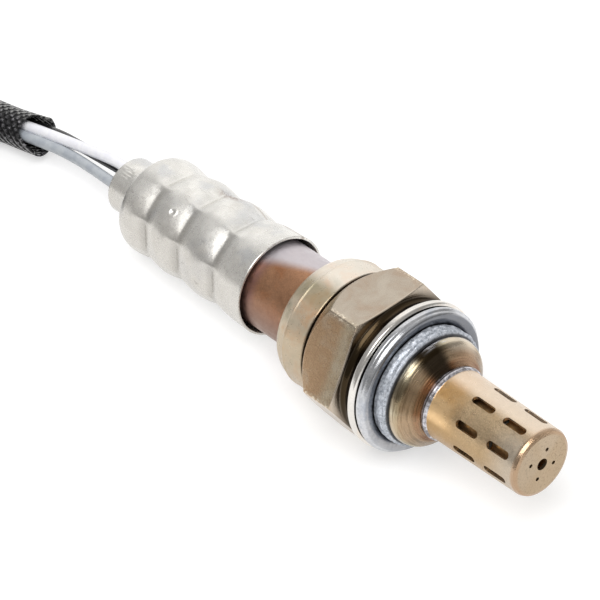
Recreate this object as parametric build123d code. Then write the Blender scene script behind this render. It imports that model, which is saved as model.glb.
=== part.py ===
from build123d import *
import math
import os

# Heated four-wire oxygen sensor with an M18 thread, in millimetres.
# Each rigid piece is drawn along the sensor's own axis: x runs from the wires to the tip, with x = 0 on the
# face of the gasket that seals against the exhaust. place() then leans the sensor as it lies on a surface,
# on the back edge of its lowest hex flat and the back of its outer sleeve, with its tip a little raised.

# Driving dimensions
LEAN = 4.14               # angle between the axis and the surface, degrees
SURFACE_Z = -11.92        # height of the surface that the sensor lies on
HEX_FLATS = 22.0          # spanner size
THREAD_R = 9.0            # M18 x 1.5
FLANGE_R = 11.55
GASKET_R = 11.3
COVER_R = 6.95            # brown inner cover tube
SLEEVE_R = 7.75           # outer sleeve on its bulges
SLEEVE_WALL = 0.4
NECK_R = 4.5
SHIELD_R = 5.2            # outer shield at its tip
WIRE_R = 0.85
LEAD_R = 3.1              # braided sleeve over the wires

TIP_X = 23.9
LIP_X = 5.6
FLANGE_FRONT_X = -1.9
HEX_FRONT_X = -5.4
HEX_BACK_X = -10.96
COLLAR_BACK_X = -20.9
SLEEVE_FRONT_X = -30.8
SLEEVE_SHOULDER_X = -59.8
NECK_BACK_X = -65.5
CRIMP_X = [-38.1, -46.2, -53.7]
CRIMP_FLAT_R = 6.9        # distance from the axis to the floor of a crimp flat
JAWS = 8
JAW_TURN = 128.4          # angle of the first jaw, from +Y toward +Z
SLOT_ROWS = [13.85, 19.9]
SLOT_LENGTH = 4.15
SLOT_WIDTH = 1.2
SLOT_TURN = 10.5
BAFFLE_TURN = 63.0

# The wires leave the grommet on one circle and lie together in the braided sleeve
WIRE_CIRCLE_R = 2.1
BUNDLE_R = 1.26
WIRES = {"white_wire_1": 80.0, "grey_wire": 170.0, "white_wire_2": 260.0, "black_wire": 350.0}

# The lead lies on the surface behind the sensor, folded once and tied
LEAD_Z = SURFACE_Z + LEAD_R + 0.05
MOUTH_DEPTH = 9.0
TIE_LIFT = 0.7            # the strap lifts the runs that it holds
RUN_Y = [-3.4, -10.3]     # the two runs, side by side in the tie
TIE_X = -164.3
TIE_GAP = 0.24            # the strap is wider inside than the runs that it holds
CONNECTOR_Y = -17.5
CONNECTOR_Z = -7.4
CONNECTOR_FRONT_X = -92.5
CONNECTOR_BACK_X = -123.5
BOOT_BACK_X = -128.0
CONNECTOR_WIDTH = 18.0
CONNECTOR_HEIGHT = 12.0
MOUTH_LENGTH = 16.0
PIN_R = 0.8
PIN_SETBACK = 6.0         # how far the pins stop short of the housing's front
PIN_SPOTS = [(-3.2, -1.9), (3.2, -1.9), (-3.2, 1.9), (3.2, 1.9)]
LEAD_POINTS = [
    (-85.2, -0.4, -7.5), (-95.5, -2.9, LEAD_Z), (-111.0, -4.9, LEAD_Z), (-128.5, -4.4, LEAD_Z),
    (-148.5, RUN_Y[0], LEAD_Z + TIE_LIFT), (-175.0, RUN_Y[0], LEAD_Z + TIE_LIFT), (-202.8, 16.1, LEAD_Z),
    (-219.5, 14.1, LEAD_Z), (-231.1, 1.1, LEAD_Z), (-231.1, -15.1, LEAD_Z), (-219.8, -27.7, LEAD_Z),
    (-202.8, -29.6, LEAD_Z), (-173.0, RUN_Y[1], LEAD_Z + TIE_LIFT), (-158.0, RUN_Y[1], LEAD_Z + TIE_LIFT),
    (-142.0, CONNECTOR_Y, CONNECTOR_Z), (BOOT_BACK_X, CONNECTOR_Y, CONNECTOR_Z),
]
BEND = 0.45               # share of the shorter neighbouring run that each bend takes up

os.makedirs("parts", exist_ok=True)


# Shared helpers

def place(shape):
    """Lean a piece drawn on the sensor's axis to the way the sensor lies."""
    return Rot(0, -LEAN, 0) * shape


def lying(x, y, z):
    """A point given on the sensor's axes, as it lies."""
    lean = math.radians(LEAN)
    return (x * math.cos(lean) - z * math.sin(lean), y, x * math.sin(lean) + z * math.cos(lean))


def turned(points):
    """A turned piece from its half section, given as (x, radius) round the outline."""
    face = make_face(Polyline([(x, r) for x, r in points], close=True))
    return revolve(face, Axis.X)


def ring(x_back, x_front, r_inner, r_outer):
    return turned([(x_back, r_inner), (x_front, r_inner), (x_front, r_outer), (x_back, r_outer)])


def rod(x_back, x_front, radius):
    return turned([(x_back, 0), (x_front, 0), (x_front, radius), (x_back, radius)])


def around(shape, angle):
    """Turn a tool made at +Y round the axis, toward +Z."""
    return Rot(angle, 0, 0) * shape


def bends(points):
    """Bend radii for a route of straight runs, each from the shorter run beside it and the turn."""
    radii = []
    for before, corner, after in zip(points, points[1:], points[2:]):
        run_in = Vector(*corner) - Vector(*before)
        run_out = Vector(*after) - Vector(*corner)
        half_turn = math.radians(run_in.get_angle(run_out)) / 2
        shorter = min(run_in.length, run_out.length)
        radii.append(BEND * shorter / math.tan(half_turn))
    return radii


def tube_along(points, radius):
    """A round cord along straight runs joined by tangent bends."""
    route = FilletPolyline(*points, radius=bends(points))
    start = Plane(origin=route @ 0, z_dir=route % 0)
    return sweep(start * Circle(radius), path=route)


def keep(name, shape):
    export_step(shape, f"parts/{name}.step")


# Front end: shields over the sensing element

def slot_cutter(x_centre, angle, length, width):
    """A round-ended bar that cuts one slot through a shield's wall."""
    outline = Plane.XZ * Pos(x_centre, 0) * SlotOverall(length, width)
    bar = extrude(outline, amount=-8)
    return around(bar, angle)


def outer_shield():
    wall = 0.5
    shield = turned([
        (3.8, 4.0), (4.3, 4.0), (4.3, 4.95), (6.4, 4.9), (TIP_X - wall, SHIELD_R - wall),
        (TIP_X - wall, 0), (TIP_X, 0), (TIP_X, SHIELD_R - 0.65), (TIP_X - 0.2, SHIELD_R - 0.2),
        (TIP_X - 0.65, SHIELD_R), (6.75, 5.42), (6.6, 5.52), (6.42, 5.7), (6.15, 5.76), (5.88, 5.7),
        (5.72, 5.5), (4.3, 5.5), (4.3, 6.25), (3.8, 6.25),
    ])
    for row in SLOT_ROWS:
        for step in range(8):
            shield -= slot_cutter(row, SLOT_TURN + 45 * step, SLOT_LENGTH, SLOT_WIDTH)
    shield -= rod(TIP_X - 1, TIP_X + 1, 0.91)
    for step in range(4):
        hole = Pos(0, 2.29, 0) * rod(TIP_X - 1, TIP_X + 1, 0.3)
        shield -= around(hole, BAFFLE_TURN + 90 * step)
    return shield


def inner_shield():
    wall = 0.4
    radius = 3.9
    front = TIP_X - 1.3
    shield = turned([
        (3.3, radius - wall), (front - wall, radius - wall - 0.2), (front - wall, 0), (front, 0),
        (front, radius - 0.7), (front - 0.5, radius - 0.2), (4.0, radius), (3.8, radius), (3.8, 6.25), (3.3, 6.25),
    ])
    for row in (8.6, 16.9):
        for step in range(6):
            drill = extrude(Plane.XZ * Pos(row, 0) * Circle(0.75), amount=-6)
            shield -= around(drill, SLOT_TURN + 22.5 + 60 * step)
    shield -= rod(front - 1, front + 1, 0.6)
    return shield


def zirconia_thimble():
    """Closed-end electrolyte tube with the collar that seals it in the shell."""
    tip = 20.6
    thimble = turned([
        (-21.0, 2.4), (-9.5, 2.4), (-8.5, 1.55), (17.6, 1.55), (17.6, 0), (tip, 0), (tip - 0.3, 1.1),
        (tip - 1.1, 2.0), (tip - 2.4, 2.45), (2.0, 2.95), (-4.1, 3.2), (-5.1, 3.6), (-5.1, 5.6), (-7.4, 5.6),
        (-8.0, 5.0), (-8.0, 4.0), (-21.0, 4.0),
    ])
    return thimble


def seat_washer():
    return ring(-5.1, -4.6, 3.75, 5.7)


# Shell: the hex body that screws into the exhaust

def hex_bar():
    """Hex stock with both ends chamfered in the lathe."""
    stock = extrude(Plane.YZ * RegularPolygon(HEX_FLATS / 2, 6, major_radius=False), amount=40, both=True)
    lathe = turned([
        (HEX_FRONT_X - 0.35, 14.1), (HEX_FRONT_X - 0.35, 12.7), (HEX_FRONT_X + 0.1, 10.95), (HEX_FRONT_X, 0),
        (-13.7, 0), (-13.7, 10.52), (HEX_BACK_X, 12.7), (HEX_BACK_X + 0.5, 14.1),
    ])
    return stock & lathe


def shell():
    rolled_lip = [
        (LIP_X, 5.7), (5.5, 5.86), (5.36, 5.98), (5.3, 6.16), (5.16, 6.26), (5.08, 6.46), (4.85, 6.78),
        (4.55, 7.14), (4.2, 7.5), (3.95, 7.7), (3.7, 7.89),
    ]
    thread_end = [
        (2.15, 8.4), (2.15, 8.3), (1.9, 8.3), (1.9, 8.45), (1.5, THREAD_R), (-0.25, THREAD_R), (-0.7, 8.55),
        (FLANGE_FRONT_X, 8.55),
    ]
    flange = [
        (FLANGE_FRONT_X, 11.05), (-1.98, 11.35), (-2.15, 11.5), (-2.3, FLANGE_R), (-2.85, FLANGE_R),
        (-3.0, 11.46), (-3.2, 11.15), (-3.55, 10.8), (-4.0, 10.52), (-4.5, 10.42), (-4.95, 10.52),
        (-5.2, 10.75), (HEX_FRONT_X + 0.1, 10.95), (HEX_FRONT_X - 1, 10.95),
    ]
    front = turned([(HEX_FRONT_X - 1, 0), (LIP_X, 0), *rolled_lip, *thread_end, *flange])
    back = turned([
        (-13.7, 0), (-13.7, 10.45), (-13.8, 10.3), (-13.8, 9.7), (-13.95, 9.55), (-14.3, 9.55), (-14.4, 9.7),
        (-14.4, 10.0), (-14.6, 10.15), (-18.7, 10.15), (-19.7, 9.95), (-20.45, 9.55), (COLLAR_BACK_X, 9.0),
        (-21.3, 8.3), (-21.35, 7.7), (-21.1, 7.3), (-20.6, 7.05), (-20.6, 0),
    ])
    body = hex_bar() + front + back
    bore = turned([
        (LIP_X + 1, 0), (LIP_X + 1, 5.5), (4.3, 5.5), (4.3, 6.25), (2.5, 6.25), (2.5, 3.7), (-4.6, 3.7),
        (-4.6, 5.8), (-8.0, 5.8), (-8.0, 7.6), (-19.6, 7.6), (-20.6, 7.02), (-23.0, 7.02), (-23.0, 0),
    ])
    return body - bore


def shield_spacer():
    """Tubular rivet between the shields' flanges and the floor of the shell's front pocket."""
    return ring(2.5, 3.3, 5.3, 6.2)


def crush_gasket():
    """Folded sheet gasket: two rolled lobes round the edge and a lower inner step."""
    half = [
        (FLANGE_FRONT_X, 9.35), (FLANGE_FRONT_X, 10.3), (-1.72, 10.56), (-1.45, 10.72), (-1.33, 10.95),
        (-1.24, 11.16), (-1.08, GASKET_R), (-0.9, GASKET_R), (-0.74, 11.2), (-0.64, 11.04), (-0.6, 10.92),
        (-0.48, 10.97), (-0.24, 10.86), (-0.07, 10.64), (0, 10.35), (0, 9.9), (-0.1, 9.66), (-0.32, 9.5),
        (-0.42, 9.3), (-0.5, THREAD_R + 0.02), (-1.4, THREAD_R + 0.02),
    ]
    return turned(half)


# Behind the element: packing, cover and the crimped sleeve

def talc_ring():
    return ring(-13.0, -8.0, 4.0, 7.6)


def ceramic_support():
    support = ring(-17.6, -13.0, 4.0, 7.6)
    return chamfer(support.edges().filter_by(GeomType.CIRCLE).sort_by(Axis.X)[0], 0.3)


def packing_ring():
    return turned([(-18.1, 7.05), (-18.1, 7.6), (-19.55, 7.6), (-20.2, 7.2), (-20.2, 7.05)])


def inner_cover():
    wall = 0.45
    return turned([
        (-17.6, 4.6), (-17.6, 7.55), (-18.1, 7.55), (-18.1, COVER_R), (-33.0, COVER_R), (-34.6, 6.5),
        (-42.0, 6.5), (-42.0, 6.5 - wall), (-34.5, 6.5 - wall), (-32.9, COVER_R - wall),
        (-18.3, COVER_R - wall), (-18.1, 6.2), (-18.1, 4.6),
    ])


def crimp_jaws(flat_r, x_crimps):
    """The tools of the crimping press: eight flat jaws close on the sleeve at each crimp."""
    jaws = []
    for x_crimp in x_crimps:
        with BuildSketch(Plane.XY) as profile:
            with BuildLine():
                floor = Line((x_crimp - 0.35, flat_r), (x_crimp + 0.35, flat_r))
                Line(floor @ 1, (x_crimp + 1.25, flat_r + 0.42))
                Spline((x_crimp + 1.25, flat_r + 0.42), (x_crimp + 2.0, flat_r + 0.74),
                       (x_crimp + 3.1, flat_r + 0.9), tangents=((0.9, 0.42), (1, 0.02)))
                Line((x_crimp + 3.1, flat_r + 0.9), (x_crimp + 3.1, flat_r + 3))
                Line((x_crimp + 3.1, flat_r + 3), (x_crimp - 3.1, flat_r + 3))
                Line((x_crimp - 3.1, flat_r + 3), (x_crimp - 3.1, flat_r + 0.9))
                Spline((x_crimp - 3.1, flat_r + 0.9), (x_crimp - 2.0, flat_r + 0.74),
                       (x_crimp - 1.25, flat_r + 0.42), tangents=((1, -0.02), (0.9, -0.42)))
                Line((x_crimp - 1.25, flat_r + 0.42), floor @ 0)
            make_face()
        jaw = extrude(profile.sketch, amount=3.6, both=True)
        for step in range(JAWS):
            jaws.append(around(jaw, JAW_TURN + 360 / JAWS * step))
    return jaws


def sleeve_skin(inset):
    """The sleeve as a solid of its outer shape, or of its cavity when inset by the wall."""
    crimped = turned([
        (SLEEVE_FRONT_X, 0), (SLEEVE_FRONT_X, 7.95 - inset), (-33.5, 7.85 - inset), (-35.0, SLEEVE_R - inset),
        (-58.0 + inset / 2, SLEEVE_R - inset), (-58.7 + inset / 2, 7.6 - inset), (-59.3 + inset / 2, 7.2 - inset),
        (-59.65 + inset, 6.6 - inset), (SLEEVE_SHOULDER_X + inset, 5.9 - inset / 2),
        (SLEEVE_SHOULDER_X + inset, 5.2), (-60.0 + inset, 4.75), (-60.4 + inset, NECK_R - inset),
        (NECK_BACK_X - 0.01 * inset, NECK_R - inset), (NECK_BACK_X - 0.01 * inset, 0),
    ])
    for jaw in crimp_jaws(CRIMP_FLAT_R - inset, CRIMP_X):
        crimped -= jaw
    return crimped


def outer_sleeve(cavity):
    return sleeve_skin(0) - cavity - rod(SLEEVE_FRONT_X - 1, SLEEVE_FRONT_X + 1, 7.95 - SLEEVE_WALL)


def rubber_grommet(cavity):
    """Silicone seal that the two back crimps squeeze round the wires."""
    grommet = cavity & rod(NECK_BACK_X, -45.0, 9.0)
    for angle in WIRES.values():
        grommet -= around(Pos(0, WIRE_CIRCLE_R, 0) * rod(-70, -40, WIRE_R), angle)
    return grommet


def vent_filter():
    """Porous disc that lets reference air past the wires."""
    disc = rod(-45.0, -44.4, 6.6)
    for angle in WIRES.values():
        disc -= around(Pos(0, WIRE_CIRCLE_R, 0) * rod(-46, -44, WIRE_R), angle)
    return disc


# Electrical pieces inside the cover

def heater_rod():
    return rod(-29.0, 17.6, 1.45)


def inner_contact():
    """Spring collar between the heater and the inside of the thimble, slit so that it grips."""
    collar = ring(-19.0, -10.0, 1.45, 2.4)
    slit = Pos(-15.5, 2, 0) * Box(7.2, 2.4, 0.5)
    return collar - slit


def outer_contact():
    """Ground clip round the open end of the thimble."""
    clip = ring(-20.8, -18.2, 4.0, 4.35)
    return clip - Pos(-19.5, 4, 0) * Box(4, 1.6, 1.0)


def terminal_spots():
    """The wires' names and angles, each with the terminal that serves it."""
    return {
        "heater_terminal_1": WIRES["white_wire_1"], "ground_terminal": WIRES["grey_wire"],
        "heater_terminal_2": WIRES["white_wire_2"], "signal_terminal": WIRES["black_wire"],
    }


def terminal(name, angle):
    """Flat strip through the insulator, with a foot on the contact or heater pad that it serves."""
    foot = {"heater_terminal_1": (-28.8, 1.45), "heater_terminal_2": (-28.8, 1.45),
            "ground_terminal": (-18.4, 4.35), "signal_terminal": (-18.4, 2.4)}[name]
    x_foot, r_foot = foot
    inner = WIRE_CIRCLE_R - 0.2
    if name == "ground_terminal":
        outline = [(-40.5, inner), (-24.4, inner), (-22.6, r_foot), (x_foot, r_foot), (x_foot, r_foot + 0.4),
                   (-22.8, r_foot + 0.4), (-24.6, inner + 0.4), (-40.5, inner + 0.4)]
    elif name == "signal_terminal":
        outline = [(-40.5, inner), (-18.99, inner), (-18.99, inner + 0.4), (-40.5, inner + 0.4)]
    else:
        outline = [(-40.5, inner), (-27.6, inner), (-27.2, r_foot), (-26.2, r_foot), (-26.2, r_foot + 0.4),
                   (-27.0, r_foot + 0.4), (-27.4, inner + 0.4), (-40.5, inner + 0.4)]
    strip = extrude(make_face(Polyline(outline, close=True)), amount=0.6, both=True)
    return around(strip, angle)


def terminal_insulator():
    """Ceramic separator that keeps the four terminals apart."""
    body = rod(-39.0, -25.2, 5.6)
    body -= rod(-29.4, -25.0, 2.0)
    for angle in WIRES.values():
        body -= around(Pos(-32.0, WIRE_CIRCLE_R, 0) * Box(15.0, 1.3, 1.5), angle)
    return body


def insulator_spring():
    return ring(-30.0, -27.4, 5.6, COVER_R - 0.45)


def ferrule(angle):
    """Crimp barrel that joins a terminal to its wire."""
    barrel = Pos(0, WIRE_CIRCLE_R, 0) * rod(-43.6, -40.5, 1.2)
    return around(barrel, angle)


# Lead: wires, braided sleeve, tie and connector

def wire_route(angle):
    """From the ferrule, straight through the grommet, then down into the mouth of the braided sleeve."""
    a = math.radians(angle)
    y, z = WIRE_CIRCLE_R * math.cos(a), WIRE_CIRCLE_R * math.sin(a)
    mouth = Vector(*LEAD_POINTS[0])
    ahead = (Vector(*LEAD_POINTS[1]) - mouth).normalized()
    bundle = Vector(0, BUNDLE_R * math.cos(a), BUNDLE_R * math.sin(a))
    bundle -= ahead * bundle.dot(ahead)
    return [
        lying(-43.6, y, z), lying(-69.5, y, z), lying(-76.5, y * 0.65, z * 0.65 - 0.25),
        tuple(mouth + bundle - ahead * 2.5), tuple(mouth + bundle + ahead * MOUTH_DEPTH),
    ]


def wire(angle):
    return tube_along(wire_route(angle), WIRE_R)


def braided_sleeve():
    mouth = Vector(*LEAD_POINTS[0])
    ahead = (Vector(*LEAD_POINTS[1]) - mouth).normalized()
    sleeve = tube_along(LEAD_POINTS, LEAD_R)
    hollow = Plane(origin=mouth - ahead, z_dir=ahead) * Cylinder(
        LEAD_R - 0.55, MOUTH_DEPTH + 1, align=(Align.CENTER, Align.CENTER, Align.MIN))
    return sleeve - hollow


def lead_tie():
    """Releasable strap round both runs of the folded lead."""
    strap_thickness = 0.6
    inside_width = RUN_Y[0] - RUN_Y[1] + 2 * LEAD_R + TIE_GAP
    inside_height = 2 * LEAD_R + TIE_GAP
    middle = Pos(TIE_X, sum(RUN_Y) / 2, LEAD_Z + TIE_LIFT)
    section = middle * Rot(0, 90, 0)
    outside = SlotOverall(inside_width + 2 * strap_thickness, inside_height + 2 * strap_thickness, rotation=90)
    inside = SlotOverall(inside_width, inside_height, rotation=90)
    strap = extrude(section * (outside - inside), amount=1.0, both=True)
    buckle = middle * Pos(0, 0, LEAD_R + strap_thickness + 0.6) * Box(3.6, 4.6, 1.5)
    return strap + buckle


def connector_middle():
    length = CONNECTOR_FRONT_X - CONNECTOR_BACK_X
    return Pos(CONNECTOR_BACK_X + length / 2, CONNECTOR_Y, SURFACE_Z + CONNECTOR_HEIGHT / 2), length


def connector_housing():
    """Four-way housing: keyed mouth at the front, drilled floor for the pins, collar at the back."""
    middle, length = connector_middle()
    front = middle * Pos(length / 2, 0, 0)
    body = middle * Box(length, CONNECTOR_WIDTH, CONNECTOR_HEIGHT)
    body = fillet(body.edges().filter_by(Axis.X), 1.6)
    body += middle * Pos(1.5 - length / 2, 0, 0) * Box(2, CONNECTOR_WIDTH + 0.8, CONNECTOR_HEIGHT - 3.4)
    body -= front * Pos(-MOUTH_LENGTH / 2 + 0.5, 0, 0) * Box(MOUTH_LENGTH + 1, 14.6, 8.6)
    for side in (-1, 1):
        body -= middle * Pos(2, side * CONNECTOR_WIDTH / 2, 0) * Box(16, 0.9, 4)
    body -= middle * Pos(3.0, 0, CONNECTOR_HEIGHT / 2 - 0.6) * Box(9, 7, 1.8)
    for y, z in PIN_SPOTS:
        body -= front * Pos(-length / 2, y, z) * Rot(0, 90, 0) * Cylinder(PIN_R, length)
    return body


def connector_pin(y, z):
    middle, length = connector_middle()
    reach = length - PIN_SETBACK
    return middle * Pos(-PIN_SETBACK / 2, y, z) * Rot(0, 90, 0) * Cylinder(PIN_R, reach)


def connector_lock():
    """Slide that locks the pins, let into the top of the housing."""
    middle, _ = connector_middle()
    plate = middle * Pos(3.0, 0, CONNECTOR_HEIGHT / 2 - 0.75) * Box(9, 7, 1.5)
    grip = middle * Pos(0.2, 0, CONNECTOR_HEIGHT / 2 + 0.2) * Box(1.2, 6, 0.4)
    return plate + grip


def connector_boot():
    """Rubber boot where the braided sleeve enters the connector."""
    length = CONNECTOR_BACK_X - BOOT_BACK_X
    middle = Pos(BOOT_BACK_X + length / 2, CONNECTOR_Y, CONNECTOR_Z) * Rot(0, 90, 0)
    return middle * Cylinder(4.0, length)


def build():
    cavity = sleeve_skin(SLEEVE_WALL)
    on_axis = {
        "outer_shield": outer_shield(), "inner_shield": inner_shield(), "shield_spacer": shield_spacer(),
        "zirconia_thimble": zirconia_thimble(), "seat_washer": seat_washer(), "shell": shell(),
        "crush_gasket": crush_gasket(), "talc_ring": talc_ring(), "ceramic_support": ceramic_support(),
        "packing_ring": packing_ring(), "inner_cover": inner_cover(), "outer_sleeve": outer_sleeve(cavity),
        "rubber_grommet": rubber_grommet(cavity), "vent_filter": vent_filter(), "heater_rod": heater_rod(),
        "inner_contact": inner_contact(), "outer_contact": outer_contact(),
        "terminal_insulator": terminal_insulator(), "insulator_spring": insulator_spring(),
    }
    for name, angle in terminal_spots().items():
        on_axis[name] = terminal(name, angle)
    for number, angle in enumerate(WIRES.values(), start=1):
        on_axis[f"crimp_ferrule_{number}"] = ferrule(angle)
    for name, shape in on_axis.items():
        keep(name, place(shape))
    for name, angle in WIRES.items():
        keep(name, wire(angle))
        print(name, "bend radii", [round(r, 1) for r in bends(wire_route(angle))])
    keep("braided_sleeve", braided_sleeve())
    print("braided_sleeve bend radii", [round(r, 1) for r in bends(LEAD_POINTS)])
    keep("lead_tie", lead_tie())
    keep("connector_housing", connector_housing())
    keep("connector_lock", connector_lock())
    for number, (y, z) in enumerate(PIN_SPOTS, start=1):
        keep(f"connector_pin_{number}", connector_pin(y, z))
    keep("connector_boot", connector_boot())


build()
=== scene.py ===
import bmesh
import bpy
import math
from mathutils import Matrix, Vector, noise


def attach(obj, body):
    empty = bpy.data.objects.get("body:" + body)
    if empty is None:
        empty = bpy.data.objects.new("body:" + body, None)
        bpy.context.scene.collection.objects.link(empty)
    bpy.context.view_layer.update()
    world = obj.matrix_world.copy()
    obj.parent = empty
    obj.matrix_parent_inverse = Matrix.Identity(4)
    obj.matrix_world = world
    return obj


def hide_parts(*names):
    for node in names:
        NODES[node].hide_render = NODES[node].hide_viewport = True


# Oxygen sensor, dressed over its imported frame. Lengths are written in millimetres, and MM turns them into
# metres. The sensor's own axis runs through the frame's origin and leans LEAN, tip up, in the XZ plane.
# Pieces on it are drawn by x along the axis, radius from it, and angle round it in degrees from +Y
# toward +Z.

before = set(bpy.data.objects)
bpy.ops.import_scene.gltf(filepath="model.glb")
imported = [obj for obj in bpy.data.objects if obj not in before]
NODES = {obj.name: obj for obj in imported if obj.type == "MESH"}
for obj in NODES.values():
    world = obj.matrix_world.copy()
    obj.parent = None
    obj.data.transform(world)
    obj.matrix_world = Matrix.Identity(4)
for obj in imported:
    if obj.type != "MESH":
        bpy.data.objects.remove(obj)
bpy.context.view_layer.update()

MM = 0.001
LEAN = math.radians(4.14)
SURFACE_Z = -11.92        # height of the surface that the sensor lies on


def lying(x, y, z):
    """A point on the sensor's own axes in millimetres, as it lies in the frame."""
    return (x * math.cos(LEAN) - z * math.sin(LEAN), y, x * math.sin(LEAN) + z * math.cos(LEAN))


def smooth_min(a, b, soft):
    """The smaller of two lengths, with the corner between them rounded."""
    h = max(soft - abs(a - b), 0) / soft
    return min(a, b) - h * h * soft / 4


def near(value, centre, width):
    """A smooth hump of height 1 at centre that is gone at width from it."""
    t = min(abs(value - centre) / width, 1)
    return (1 - t * t) ** 2


def turn_between(a, b):
    """The angle from b to a in degrees, between -180 and 180."""
    return (a - b + 180) % 360 - 180


# Camera, placed from the photograph's perspective on the hex, flange and shield

CAMERA_PLACE = Vector((260.25, -228.37, 344.21)) * MM
CAMERA_RIGHT = Vector((0.655841, 0.753505, -0.045851))
CAMERA_UP = Vector((-0.496696, 0.476461, 0.725450))

camera = bpy.data.objects.new("camera", bpy.data.cameras.new("camera"))
camera.data.lens = 210.0
camera.data.sensor_width = 36.0
camera.data.clip_start = 0.01
turn = Matrix((CAMERA_RIGHT, CAMERA_UP, CAMERA_RIGHT.cross(CAMERA_UP))).transposed().to_4x4()
camera.matrix_world = Matrix.Translation(CAMERA_PLACE) @ turn
bpy.context.scene.collection.objects.link(camera)
bpy.context.scene.camera = camera


# Node graphs

class Graph:
    """A material's nodes, written as nested calls."""

    def __init__(self, name):
        self.material = bpy.data.materials.new(name)
        self.material.use_nodes = True
        self.nodes = self.material.node_tree.nodes
        self.links = self.material.node_tree.links
        self.shader = self.nodes["Principled BSDF"]

    def put(self, socket, value):
        if isinstance(value, bpy.types.NodeSocket):
            self.links.new(value, socket)
        elif value is not None:
            socket.default_value = value

    def set(self, **inputs):
        for name, value in inputs.items():
            self.put(self.shader.inputs[name.replace("_", " ")], value)

    def math(self, operation, *values):
        node = self.nodes.new("ShaderNodeMath")
        node.operation = operation
        for socket, value in zip(node.inputs, values):
            self.put(socket, value)
        return node.outputs[0]

    def times(self, first, *others):
        """The product of some values."""
        for other in others:
            first = self.math("MULTIPLY", first, other)
        return first

    def apart(self, value, centre):
        """The distance of a value from a number."""
        return self.math("ABSOLUTE", self.math("SUBTRACT", value, centre))

    def between(self, value, low, high, out_low=0.0, out_high=1.0):
        """A value's share of the way from low to high, eased at both ends."""
        node = self.nodes.new("ShaderNodeMapRange")
        node.interpolation_type = "SMOOTHSTEP"
        for socket, part in zip(node.inputs, (value, low, high, out_low, out_high)):
            self.put(socket, part)
        return node.outputs[0]

    def position(self):
        """Object position in millimetres, turned so that x runs along the sensor's axis."""
        coordinates = self.nodes.new("ShaderNodeTexCoord")
        turn = self.nodes.new("ShaderNodeMapping")
        turn.inputs["Rotation"].default_value = (0, LEAN, 0)
        turn.inputs["Scale"].default_value = (1 / MM, 1 / MM, 1 / MM)
        self.links.new(coordinates.outputs["Object"], turn.inputs["Vector"])
        return turn.outputs[0]

    def split(self, vector):
        node = self.nodes.new("ShaderNodeSeparateXYZ")
        self.links.new(vector, node.inputs[0])
        return node.outputs[0], node.outputs[1], node.outputs[2]

    def join(self, x, y, z):
        node = self.nodes.new("ShaderNodeCombineXYZ")
        for socket, value in zip(node.inputs, (x, y, z)):
            self.put(socket, value)
        return node.outputs[0]

    def axis(self):
        """Place along the sensor's axis, radius from it, and angle round it in radians."""
        x, y, z = self.split(self.position())
        radius = self.math("SQRT", self.math("ADD", self.times(y, y), self.times(z, z)))
        return x, radius, self.math("ARCTAN2", z, y)

    def beside(self, angle, middle, full, none):
        """1 within full degrees of one side of the axis, falling to 0 at none degrees from it."""
        closeness = self.math("COSINE", self.math("SUBTRACT", angle, math.radians(middle)))
        return self.between(closeness, math.cos(math.radians(none)), math.cos(math.radians(full)))

    def noise(self, vector, scale, detail=3.0, roughness=0.6, distortion=0.0):
        node = self.nodes.new("ShaderNodeTexNoise")
        self.put(node.inputs["Vector"], vector)
        node.inputs["Scale"].default_value = scale
        node.inputs["Detail"].default_value = detail
        node.inputs["Roughness"].default_value = roughness
        node.inputs["Distortion"].default_value = distortion
        return node.outputs["Fac"]

    def cells(self, vector, scale):
        node = self.nodes.new("ShaderNodeTexVoronoi")
        self.put(node.inputs["Vector"], vector)
        node.inputs["Scale"].default_value = scale
        return node.outputs["Distance"]

    def ramp(self, value, stops):
        """Colours or grey levels at positions along a value."""
        node = self.nodes.new("ShaderNodeValToRGB")
        self.put(node.inputs[0], value)
        elements = node.color_ramp.elements
        while len(elements) < len(stops):
            elements.new(0.5)
        for element, (place, colour) in zip(elements, stops):
            element.position = place
            if not isinstance(colour, tuple):
                colour = (colour, colour, colour)
            element.color = (*colour, 1)
        return node.outputs[0]

    def mix(self, factor, a, b, blend="MIX"):
        node = self.nodes.new("ShaderNodeMix")
        node.data_type = "RGBA"
        node.blend_type = blend
        self.put(node.inputs[0], factor)
        for socket, value in ((node.inputs[6], a), (node.inputs[7], b)):
            if isinstance(value, tuple):
                value = (*value, 1)
            self.put(socket, value)
        return node.outputs[2]

    def over(self, tone, colour, *shares):
        """A colour laid over a tone, by the product of its shares."""
        return self.mix(self.times(*shares), tone, colour)

    def bump(self, height, strength, distance=0.05, after=None):
        node = self.nodes.new("ShaderNodeBump")
        self.put(node.inputs["Strength"], strength)
        node.inputs["Distance"].default_value = distance * MM
        self.put(node.inputs["Height"], height)
        if after is not None:
            self.put(node.inputs["Normal"], after)
        return node.outputs[0]


def rgb(red, green, blue):
    """A colour written in screen values, as the shader's linear one."""
    def linear(value):
        value /= 255
        return value / 12.92 if value <= 0.04045 else ((value + 0.055) / 1.055) ** 2.4
    return (linear(red), linear(green), linear(blue))


def shade(colour, factor):
    return tuple(factor * part for part in colour)


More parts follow.
